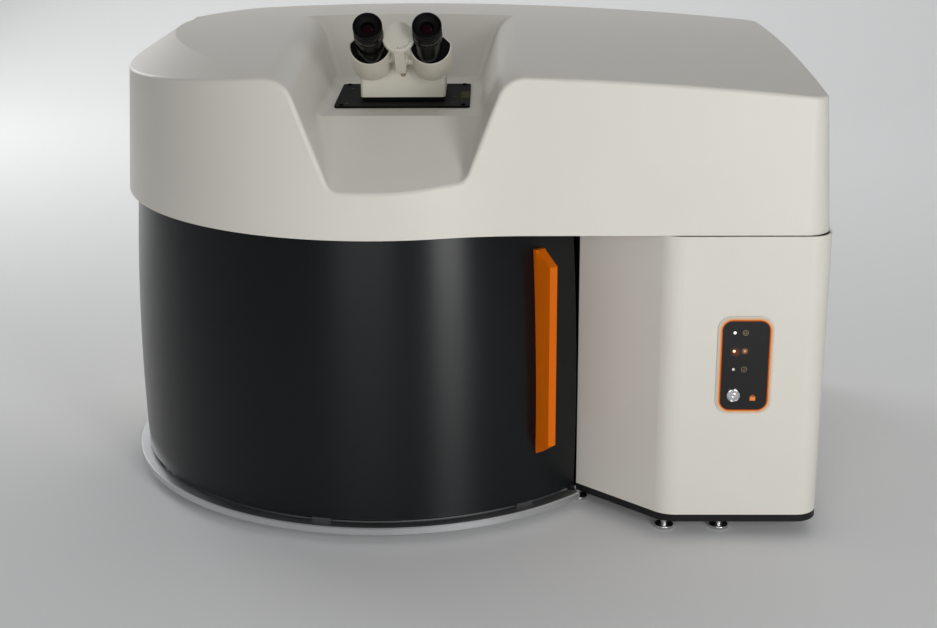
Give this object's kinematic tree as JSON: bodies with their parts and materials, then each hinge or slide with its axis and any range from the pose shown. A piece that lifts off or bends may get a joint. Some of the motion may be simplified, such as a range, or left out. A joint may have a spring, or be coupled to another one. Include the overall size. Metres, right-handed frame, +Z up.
{
  "type": "raman microscope",
  "caption": "Bench raman microscope: round-fronted sample chamber with a sliding curved door, binocular on top, optics cabinet at the right.",
  "frame": {"origin": "under the middle of the whole instrument, at the level of the feet's undersides", "axes": "+Z up, +Y from the door at the front towards the rear panel, +X towards the optics cabinet (the viewer's right)"},
  "size_m": [0.97, 0.68, 0.6868],
  "materials": {
    "hood_paint": "warm ivory satin paint on a moulded cover, very slight orange peel",
    "cabinet_paint": "warm ivory satin paint",
    "rear_paint": "warm grey satin paint",
    "door_paint": "dark blue-black satin paint",
    "handle_orange": "orange gloss",
    "ring_grey": "light grey satin anodised",
    "base_black": "black satin powder coat",
    "foot_steel": "turned stainless steel",
    "slot_black": "black satin",
    "binocular_cream": "cream fine-texture paint",
    "tube_black": "black satin enamel",
    "cup_black": "matt black rubber over a black barrel",
    "coated_glass": "coated optical glass, reddish reflection",
    "slide_glass": "clear glass",
    "status_glass": "black gloss window with three lamps",
    "status_orange": "orange gloss",
    "status_pale": "pale satin",
    "button_metal": "polished with a turned face",
    "frame_metal": "plain milled",
    "liner_dark": "dark grey matt",
    "lock_steel": "plated",
    "slide_plastic": "self-lubricating plastic",
    "stand_paint": "light grey paint",
    "stage_black": "black anodised",
    "objective_chrome": "satin chrome",
    "tube_metal": "turned",
    "optics_black": "black anodised",
    "motor_dark": "dark grey anodised",
    "supply_steel": "plated sheet",
    "board_green": "green solder mask",
    "fan_black": "black",
    "socket_black": "black"
  },
  "bodies": {
    "chassis": {"base_plate": "base_black", "levelling_feet": "foot_steel", "door_track": "ring_grey", "deck_pillars": "frame_metal", "upper_deck": "frame_metal", "hood_shell": "hood_paint", "hood_brackets": "frame_metal", "slot_plate": "slot_black", "drum_rear_shell": "cabinet_paint", "chamber_partition": "liner_dark", "cabinet_shell": "cabinet_paint", "rear_panel": "rear_paint", "lock_solenoid": "lock_steel", "status_bezel": "status_pale", "status_trim": "status_orange", "status_glass": "status_glass", "status_housing": "liner_dark", "microscope_stand": "stand_paint", "nosepiece_mount": "stand_paint", "illuminator_block": "stand_paint", "head_tube": "tube_metal", "wheel_motor": "motor_dark", "fold_mirrors": "optics_black", "binocular_riser": "slot_black", "binocular_body": "binocular_cream", "hinge_disc": "binocular_cream", "optics_shelf": "optics_black", "spectrometer_case": "optics_black", "spectrometer_cover": "optics_black", "case_optics": "optics_black", "ccd_detector": "motor_dark", "laser_module": "motor_dark", "power_supply": "supply_steel", "control_board": "board_green", "fan_frame": "fan_black", "rear_connectors": "socket_black"},
    "door": {"door_skin": "door_paint", "door_fittings": "slide_plastic", "door_handle": "handle_orange"},
    "bolt": {"lock_bolt": "lock_steel"},
    "button": {"lock_button": "button_metal"},
    "focus": {"focus_carriage": "stage_black"},
    "stage_y": {"stage_y_plate": "stage_black"},
    "stage_x": {"stage_x_plate": "stage_black", "specimen_slide": "slide_glass"},
    "turret": {"nosepiece": "objective_chrome", "objectives": "objective_chrome"},
    "wheel": {"filter_wheel": "optics_black"},
    "grating_table": {"grating_turret": "optics_black"},
    "fan": {"fan_rotor": "fan_black"},
    "rocker": {"rocker_switch": "socket_black"},
    "left_eye": {"left_prism_housing": "binocular_cream", "left_eyepiece_tube": "tube_black", "left_eyepiece": "cup_black", "left_eye_lens": "coated_glass"},
    "right_eye": {"right_prism_housing": "binocular_cream", "right_eyepiece_tube": "tube_black", "right_eyepiece": "cup_black", "right_eye_lens": "coated_glass"},
    "dioptre": {"dioptre_ring": "tube_black"}
  },
  "joints": [
    {"name": "door_swing", "type": "hinge", "parent": "chassis", "child": "door", "pos_m": [-0.104, 0.041, 0.2], "axis": [0, 0, -1], "range_deg": [0, 60]},
    {"name": "bolt_throw", "type": "slide", "parent": "chassis", "child": "bolt", "axis": [0, 0, -1], "range_m": [0, 0.008]},
    {"name": "button_press", "type": "slide", "parent": "chassis", "child": "button", "axis": [0, 1, 0], "range_m": [0, 0.0025], "stiffness_N_per_m": 400, "springref_m": -0.001},
    {"name": "focus_slide", "type": "slide", "parent": "chassis", "child": "focus", "axis": [0, 0, 1], "range_m": [-0.04, 0.004]},
    {"name": "stage_y_slide", "type": "slide", "parent": "focus", "child": "stage_y", "axis": [0, 1, 0], "range_m": [-0.025, 0.025]},
    {"name": "stage_x_slide", "type": "slide", "parent": "stage_y", "child": "stage_x", "axis": [1, 0, 0], "range_m": [-0.038, 0.038]},
    {"name": "turret_turn", "type": "hinge", "parent": "chassis", "child": "turret", "pos_m": [-0.071, -0.058, 0.387], "axis": [0, 0.342, -0.9397], "continuous": true},
    {"name": "wheel_turn", "type": "hinge", "parent": "chassis", "child": "wheel", "pos_m": [0.02, -0.028, 0.495], "axis": [1, 0, 0], "continuous": true},
    {"name": "grating_turn", "type": "hinge", "parent": "chassis", "child": "grating_table", "pos_m": [0.262, 0.09, 0.3], "axis": [0, 0, 1], "continuous": true},
    {"name": "fan_spin", "type": "hinge", "parent": "chassis", "child": "fan", "pos_m": [0.395, 0.32, 0.19], "axis": [0, 1, 0], "continuous": true},
    {"name": "rocker_tip", "type": "hinge", "parent": "chassis", "child": "rocker", "pos_m": [0.276, 0.331, 0.084], "axis": [1, 0, 0], "range_deg": [-6, 0]},
    {"name": "left_fold", "type": "hinge", "parent": "chassis", "child": "left_eye", "pos_m": [-0.071, -0.227, 0.672], "axis": [0, 0.8192, -0.5736], "range_deg": [0, 24]},
    {"name": "right_fold", "type": "hinge", "parent": "chassis", "child": "right_eye", "pos_m": [-0.071, -0.227, 0.672], "axis": [0, -0.8192, 0.5736], "range_deg": [0, 24]},
    {"name": "dioptre_turn", "type": "hinge", "parent": "left_eye", "child": "dioptre", "pos_m": [-0.10875, -0.18195, 0.64045], "axis": [0, -0.8192, 0.5736], "range_deg": [-60, 60]}
  ],
  "couplings": [
    {"joint": "right_fold", "follows": "left_fold", "ratio": 1}
  ]
}
